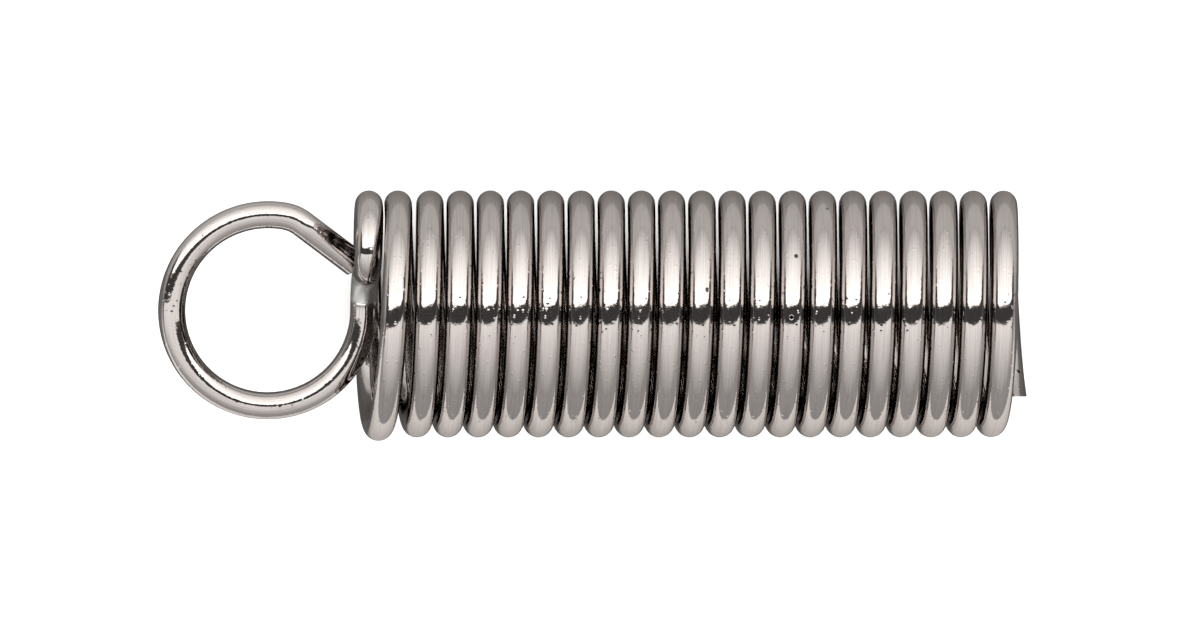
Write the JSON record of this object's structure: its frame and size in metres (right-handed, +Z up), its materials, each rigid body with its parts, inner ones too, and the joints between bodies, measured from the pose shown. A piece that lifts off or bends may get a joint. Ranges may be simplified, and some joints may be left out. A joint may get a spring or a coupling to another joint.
{
  "type": "coil cord end with ring",
  "caption": "Bright wire coil end for cord: a long open-wound coil that bends and stretches, with a ring bent from the same wire at one end and a short tail at the other.",
  "frame": {"origin": "on the surface the part lies on, under the middle of its bounding box", "axes": "+X along the coil from the ring to the tail, +Y to the left of that, +Z up; the ring lies within 7 degrees of level"},
  "size_m": [0.0323, 0.0093, 0.0091],
  "materials": {
    "bright_wire": "nickel-plated steel wire, bright drawn, with fine lengthwise drawing lines"
  },
  "bodies": {
    "end_loop": {"end_loop": "bright_wire"},
    "turn_01_lower": {"turn_01_lower": "bright_wire"},
    "turn_01_upper": {"turn_01_upper": "bright_wire"},
    "turn_02_lower": {"turn_02_lower": "bright_wire"},
    "turn_02_upper": {"turn_02_upper": "bright_wire"},
    "turn_03_lower": {"turn_03_lower": "bright_wire"},
    "turn_03_upper": {"turn_03_upper": "bright_wire"},
    "turn_04_lower": {"turn_04_lower": "bright_wire"},
    "turn_04_upper": {"turn_04_upper": "bright_wire"},
    "turn_05_lower": {"turn_05_lower": "bright_wire"},
    "turn_05_upper": {"turn_05_upper": "bright_wire"},
    "turn_06_lower": {"turn_06_lower": "bright_wire"},
    "turn_06_upper": {"turn_06_upper": "bright_wire"},
    "turn_07_lower": {"turn_07_lower": "bright_wire"},
    "turn_07_upper": {"turn_07_upper": "bright_wire"},
    "turn_08_lower": {"turn_08_lower": "bright_wire"},
    "turn_08_upper": {"turn_08_upper": "bright_wire"},
    "turn_09_lower": {"turn_09_lower": "bright_wire"},
    "turn_09_upper": {"turn_09_upper": "bright_wire"},
    "turn_10_lower": {"turn_10_lower": "bright_wire"},
    "turn_10_upper": {"turn_10_upper": "bright_wire"},
    "turn_11_lower": {"turn_11_lower": "bright_wire"},
    "turn_11_upper": {"turn_11_upper": "bright_wire"},
    "turn_12_lower": {"turn_12_lower": "bright_wire"},
    "turn_12_upper": {"turn_12_upper": "bright_wire"},
    "turn_13_lower": {"turn_13_lower": "bright_wire"},
    "turn_13_upper": {"turn_13_upper": "bright_wire"},
    "turn_14_lower": {"turn_14_lower": "bright_wire"},
    "turn_14_upper": {"turn_14_upper": "bright_wire"},
    "turn_15_lower": {"turn_15_lower": "bright_wire"},
    "turn_15_upper": {"turn_15_upper": "bright_wire"},
    "turn_16_lower": {"turn_16_lower": "bright_wire"},
    "turn_16_upper": {"turn_16_upper": "bright_wire"},
    "turn_17_lower": {"turn_17_lower": "bright_wire"},
    "turn_17_upper": {"turn_17_upper": "bright_wire"},
    "turn_18_lower": {"turn_18_lower": "bright_wire"},
    "turn_18_upper": {"turn_18_upper": "bright_wire"},
    "turn_19_lower": {"turn_19_lower": "bright_wire"},
    "turn_19_upper": {"turn_19_upper": "bright_wire"},
    "turn_20_lower": {"turn_20_lower": "bright_wire"},
    "turn_20_upper": {"turn_20_upper": "bright_wire"},
    "turn_21_lower": {"turn_21_lower": "bright_wire"},
    "turn_21_upper": {"turn_21_upper": "bright_wire"},
    "tail_end": {"tail_end": "bright_wire"}
  },
  "joints": [
    {"name": "left_flex_00", "type": "hinge", "parent": "end_loop", "child": "turn_01_lower", "pos_m": [-0.00833, 0.00407, 0.00453], "axis": [0, 0, 1], "range_deg": [0, 3.5], "stiffness_Nm_per_rad": 1.314},
    {"name": "right_flex_01", "type": "hinge", "parent": "turn_01_lower", "child": "turn_01_upper", "pos_m": [-0.00797, -0.00419, 0.00453], "axis": [0, 0, -1], "range_deg": [0, 7], "stiffness_Nm_per_rad": 0.657},
    {"name": "left_flex_01", "type": "hinge", "parent": "turn_01_upper", "child": "turn_02_lower", "pos_m": [-0.00725, 0.00407, 0.00453], "axis": [0, 0, 1], "range_deg": [0, 7], "stiffness_Nm_per_rad": 0.657},
    {"name": "right_flex_02", "type": "hinge", "parent": "turn_02_lower", "child": "turn_02_upper", "pos_m": [-0.00656, -0.00407, 0.00453], "axis": [0, 0, -1], "range_deg": [0, 7], "stiffness_Nm_per_rad": 0.657},
    {"name": "left_flex_02", "type": "hinge", "parent": "turn_02_upper", "child": "turn_03_lower", "pos_m": [-0.00606, 0.00407, 0.00453], "axis": [0, 0, 1], "range_deg": [0, 7], "stiffness_Nm_per_rad": 0.657},
    {"name": "right_flex_03", "type": "hinge", "parent": "turn_03_lower", "child": "turn_03_upper", "pos_m": [-0.0054, -0.00407, 0.00453], "axis": [0, 0, -1], "range_deg": [0, 7], "stiffness_Nm_per_rad": 0.657},
    {"name": "left_flex_03", "type": "hinge", "parent": "turn_03_upper", "child": "turn_04_lower", "pos_m": [-0.00494, 0.00407, 0.00453], "axis": [0, 0, 1], "range_deg": [0, 7], "stiffness_Nm_per_rad": 0.657},
    {"name": "right_flex_04", "type": "hinge", "parent": "turn_04_lower", "child": "turn_04_upper", "pos_m": [-0.00428, -0.00407, 0.00453], "axis": [0, 0, -1], "range_deg": [0, 7], "stiffness_Nm_per_rad": 0.657},
    {"name": "left_flex_04", "type": "hinge", "parent": "turn_04_upper", "child": "turn_05_lower", "pos_m": [-0.00382, 0.00407, 0.00453], "axis": [0, 0, 1], "range_deg": [0, 7], "stiffness_Nm_per_rad": 0.657},
    {"name": "right_flex_05", "type": "hinge", "parent": "turn_05_lower", "child": "turn_05_upper", "pos_m": [-0.00316, -0.00407, 0.00453], "axis": [0, 0, -1], "range_deg": [0, 7], "stiffness_Nm_per_rad": 0.657},
    {"name": "left_flex_05", "type": "hinge", "parent": "turn_05_upper", "child": "turn_06_lower", "pos_m": [-0.0027, 0.00407, 0.00453], "axis": [0, 0, 1], "range_deg": [0, 7], "stiffness_Nm_per_rad": 0.657},
    {"name": "right_flex_06", "type": "hinge", "parent": "turn_06_lower", "child": "turn_06_upper", "pos_m": [-0.00204, -0.00407, 0.00453], "axis": [0, 0, -1], "range_deg": [0, 7], "stiffness_Nm_per_rad": 0.657},
    {"name": "left_flex_06", "type": "hinge", "parent": "turn_06_upper", "child": "turn_07_lower", "pos_m": [-0.00158, 0.00407, 0.00453], "axis": [0, 0, 1], "range_deg": [0, 7], "stiffness_Nm_per_rad": 0.657},
    {"name": "right_flex_07", "type": "hinge", "parent": "turn_07_lower", "child": "turn_07_upper", "pos_m": [-0.00092, -0.00407, 0.00453], "axis": [0, 0, -1], "range_deg": [0, 7], "stiffness_Nm_per_rad": 0.657},
    {"name": "left_flex_07", "type": "hinge", "parent": "turn_07_upper", "child": "turn_08_lower", "pos_m": [-0.00046, 0.00407, 0.00453], "axis": [0, 0, 1], "range_deg": [0, 7], "stiffness_Nm_per_rad": 0.657},
    {"name": "right_flex_08", "type": "hinge", "parent": "turn_08_lower", "child": "turn_08_upper", "pos_m": [0.0002, -0.00407, 0.00453], "axis": [0, 0, -1], "range_deg": [0, 7], "stiffness_Nm_per_rad": 0.657},
    {"name": "left_flex_08", "type": "hinge", "parent": "turn_08_upper", "child": "turn_09_lower", "pos_m": [0.00066, 0.00407, 0.00453], "axis": [0, 0, 1], "range_deg": [0, 7], "stiffness_Nm_per_rad": 0.657},
    {"name": "right_flex_09", "type": "hinge", "parent": "turn_09_lower", "child": "turn_09_upper", "pos_m": [0.00132, -0.00407, 0.00453], "axis": [0, 0, -1], "range_deg": [0, 7], "stiffness_Nm_per_rad": 0.657},
    {"name": "left_flex_09", "type": "hinge", "parent": "turn_09_upper", "child": "turn_10_lower", "pos_m": [0.00178, 0.00407, 0.00453], "axis": [0, 0, 1], "range_deg": [0, 7], "stiffness_Nm_per_rad": 0.657},
    {"name": "right_flex_10", "type": "hinge", "parent": "turn_10_lower", "child": "turn_10_upper", "pos_m": [0.00244, -0.00407, 0.00453], "axis": [0, 0, -1], "range_deg": [0, 7], "stiffness_Nm_per_rad": 0.657},
    {"name": "left_flex_10", "type": "hinge", "parent": "turn_10_upper", "child": "turn_11_lower", "pos_m": [0.0029, 0.00407, 0.00453], "axis": [0, 0, 1], "range_deg": [0, 7], "stiffness_Nm_per_rad": 0.657},
    {"name": "right_flex_11", "type": "hinge", "parent": "turn_11_lower", "child": "turn_11_upper", "pos_m": [0.00356, -0.00407, 0.00453], "axis": [0, 0, -1], "range_deg": [0, 7], "stiffness_Nm_per_rad": 0.657},
    {"name": "left_flex_11", "type": "hinge", "parent": "turn_11_upper", "child": "turn_12_lower", "pos_m": [0.00402, 0.00407, 0.00453], "axis": [0, 0, 1], "range_deg": [0, 7], "stiffness_Nm_per_rad": 0.657},
    {"name": "right_flex_12", "type": "hinge", "parent": "turn_12_lower", "child": "turn_12_upper", "pos_m": [0.00468, -0.00407, 0.00453], "axis": [0, 0, -1], "range_deg": [0, 7], "stiffness_Nm_per_rad": 0.657},
    {"name": "left_flex_12", "type": "hinge", "parent": "turn_12_upper", "child": "turn_13_lower", "pos_m": [0.00514, 0.00407, 0.00453], "axis": [0, 0, 1], "range_deg": [0, 7], "stiffness_Nm_per_rad": 0.657},
    {"name": "right_flex_13", "type": "hinge", "parent": "turn_13_lower", "child": "turn_13_upper", "pos_m": [0.0058, -0.00407, 0.00453], "axis": [0, 0, -1], "range_deg": [0, 7], "stiffness_Nm_per_rad": 0.657},
    {"name": "left_flex_13", "type": "hinge", "parent": "turn_13_upper", "child": "turn_14_lower", "pos_m": [0.00626, 0.00407, 0.00453], "axis": [0, 0, 1], "range_deg": [0, 7], "stiffness_Nm_per_rad": 0.657},
    {"name": "right_flex_14", "type": "hinge", "parent": "turn_14_lower", "child": "turn_14_upper", "pos_m": [0.00692, -0.00407, 0.00453], "axis": [0, 0, -1], "range_deg": [0, 7], "stiffness_Nm_per_rad": 0.657},
    {"name": "left_flex_14", "type": "hinge", "parent": "turn_14_upper", "child": "turn_15_lower", "pos_m": [0.00738, 0.00407, 0.00453], "axis": [0, 0, 1], "range_deg": [0, 7], "stiffness_Nm_per_rad": 0.657},
    {"name": "right_flex_15", "type": "hinge", "parent": "turn_15_lower", "child": "turn_15_upper", "pos_m": [0.00804, -0.00407, 0.00453], "axis": [0, 0, -1], "range_deg": [0, 7], "stiffness_Nm_per_rad": 0.657},
    {"name": "left_flex_15", "type": "hinge", "parent": "turn_15_upper", "child": "turn_16_lower", "pos_m": [0.0085, 0.00407, 0.00453], "axis": [0, 0, 1], "range_deg": [0, 7], "stiffness_Nm_per_rad": 0.657},
    {"name": "right_flex_16", "type": "hinge", "parent": "turn_16_lower", "child": "turn_16_upper", "pos_m": [0.00916, -0.00407, 0.00453], "axis": [0, 0, -1], "range_deg": [0, 7], "stiffness_Nm_per_rad": 0.657},
    {"name": "left_flex_16", "type": "hinge", "parent": "turn_16_upper", "child": "turn_17_lower", "pos_m": [0.00962, 0.00407, 0.00453], "axis": [0, 0, 1], "range_deg": [0, 7], "stiffness_Nm_per_rad": 0.657},
    {"name": "right_flex_17", "type": "hinge", "parent": "turn_17_lower", "child": "turn_17_upper", "pos_m": [0.01028, -0.00407, 0.00453], "axis": [0, 0, -1], "range_deg": [0, 7], "stiffness_Nm_per_rad": 0.657},
    {"name": "left_flex_17", "type": "hinge", "parent": "turn_17_upper", "child": "turn_18_lower", "pos_m": [0.01074, 0.00407, 0.00453], "axis": [0, 0, 1], "range_deg": [0, 7], "stiffness_Nm_per_rad": 0.657},
    {"name": "right_flex_18", "type": "hinge", "parent": "turn_18_lower", "child": "turn_18_upper", "pos_m": [0.0114, -0.00407, 0.00453], "axis": [0, 0, -1], "range_deg": [0, 7], "stiffness_Nm_per_rad": 0.657},
    {"name": "left_flex_18", "type": "hinge", "parent": "turn_18_upper", "child": "turn_19_lower", "pos_m": [0.01186, 0.00407, 0.00453], "axis": [0, 0, 1], "range_deg": [0, 7], "stiffness_Nm_per_rad": 0.657},
    {"name": "right_flex_19", "type": "hinge", "parent": "turn_19_lower", "child": "turn_19_upper", "pos_m": [0.01252, -0.00407, 0.00453], "axis": [0, 0, -1], "range_deg": [0, 7], "stiffness_Nm_per_rad": 0.657},
    {"name": "left_flex_19", "type": "hinge", "parent": "turn_19_upper", "child": "turn_20_lower", "pos_m": [0.01298, 0.00407, 0.00453], "axis": [0, 0, 1], "range_deg": [0, 7], "stiffness_Nm_per_rad": 0.657},
    {"name": "right_flex_20", "type": "hinge", "parent": "turn_20_lower", "child": "turn_20_upper", "pos_m": [0.01364, -0.00407, 0.00453], "axis": [0, 0, -1], "range_deg": [0, 7], "stiffness_Nm_per_rad": 0.657},
    {"name": "left_flex_20", "type": "hinge", "parent": "turn_20_upper", "child": "turn_21_lower", "pos_m": [0.0141, 0.00407, 0.00453], "axis": [0, 0, 1], "range_deg": [0, 7], "stiffness_Nm_per_rad": 0.657},
    {"name": "right_flex_21", "type": "hinge", "parent": "turn_21_lower", "child": "turn_21_upper", "pos_m": [0.01476, -0.00407, 0.00453], "axis": [0, 0, -1], "range_deg": [0, 7], "stiffness_Nm_per_rad": 0.657},
    {"name": "left_flex_21", "type": "hinge", "parent": "turn_21_upper", "child": "tail_end", "pos_m": [0.01522, 0.00407, 0.00453], "axis": [0, 0, 1], "range_deg": [0, 7], "stiffness_Nm_per_rad": 0.657}
  ],
  "couplings": [
    {"joint": "left_flex_01", "follows": "left_flex_00", "ratio": 2},
    {"joint": "right_flex_02", "follows": "right_flex_01", "ratio": 1},
    {"joint": "left_flex_02", "follows": "left_flex_00", "ratio": 2},
    {"joint": "right_flex_03", "follows": "right_flex_01", "ratio": 1},
    {"joint": "left_flex_03", "follows": "left_flex_00", "ratio": 2},
    {"joint": "right_flex_04", "follows": "right_flex_01", "ratio": 1},
    {"joint": "left_flex_04", "follows": "left_flex_00", "ratio": 2},
    {"joint": "right_flex_05", "follows": "right_flex_01", "ratio": 1},
    {"joint": "left_flex_05", "follows": "left_flex_00", "ratio": 2},
    {"joint": "right_flex_06", "follows": "right_flex_01", "ratio": 1},
    {"joint": "left_flex_06", "follows": "left_flex_00", "ratio": 2},
    {"joint": "right_flex_07", "follows": "right_flex_01", "ratio": 1},
    {"joint": "left_flex_07", "follows": "left_flex_00", "ratio": 2},
    {"joint": "right_flex_08", "follows": "right_flex_01", "ratio": 1},
    {"joint": "left_flex_08", "follows": "left_flex_00", "ratio": 2},
    {"joint": "right_flex_09", "follows": "right_flex_01", "ratio": 1},
    {"joint": "left_flex_09", "follows": "left_flex_00", "ratio": 2},
    {"joint": "right_flex_10", "follows": "right_flex_01", "ratio": 1},
    {"joint": "left_flex_10", "follows": "left_flex_00", "ratio": 2},
    {"joint": "right_flex_11", "follows": "right_flex_01", "ratio": 1},
    {"joint": "left_flex_11", "follows": "left_flex_00", "ratio": 2},
    {"joint": "right_flex_12", "follows": "right_flex_01", "ratio": 1},
    {"joint": "left_flex_12", "follows": "left_flex_00", "ratio": 2},
    {"joint": "right_flex_13", "follows": "right_flex_01", "ratio": 1},
    {"joint": "left_flex_13", "follows": "left_flex_00", "ratio": 2},
    {"joint": "right_flex_14", "follows": "right_flex_01", "ratio": 1},
    {"joint": "left_flex_14", "follows": "left_flex_00", "ratio": 2},
    {"joint": "right_flex_15", "follows": "right_flex_01", "ratio": 1},
    {"joint": "left_flex_15", "follows": "left_flex_00", "ratio": 2},
    {"joint": "right_flex_16", "follows": "right_flex_01", "ratio": 1},
    {"joint": "left_flex_16", "follows": "left_flex_00", "ratio": 2},
    {"joint": "right_flex_17", "follows": "right_flex_01", "ratio": 1},
    {"joint": "left_flex_17", "follows": "left_flex_00", "ratio": 2},
    {"joint": "right_flex_18", "follows": "right_flex_01", "ratio": 1},
    {"joint": "left_flex_18", "follows": "left_flex_00", "ratio": 2},
    {"joint": "right_flex_19", "follows": "right_flex_01", "ratio": 1},
    {"joint": "left_flex_19", "follows": "left_flex_00", "ratio": 2},
    {"joint": "right_flex_20", "follows": "right_flex_01", "ratio": 1},
    {"joint": "left_flex_20", "follows": "left_flex_00", "ratio": 2},
    {"joint": "right_flex_21", "follows": "right_flex_01", "ratio": 1},
    {"joint": "left_flex_21", "follows": "left_flex_00", "ratio": 2}
  ]
}
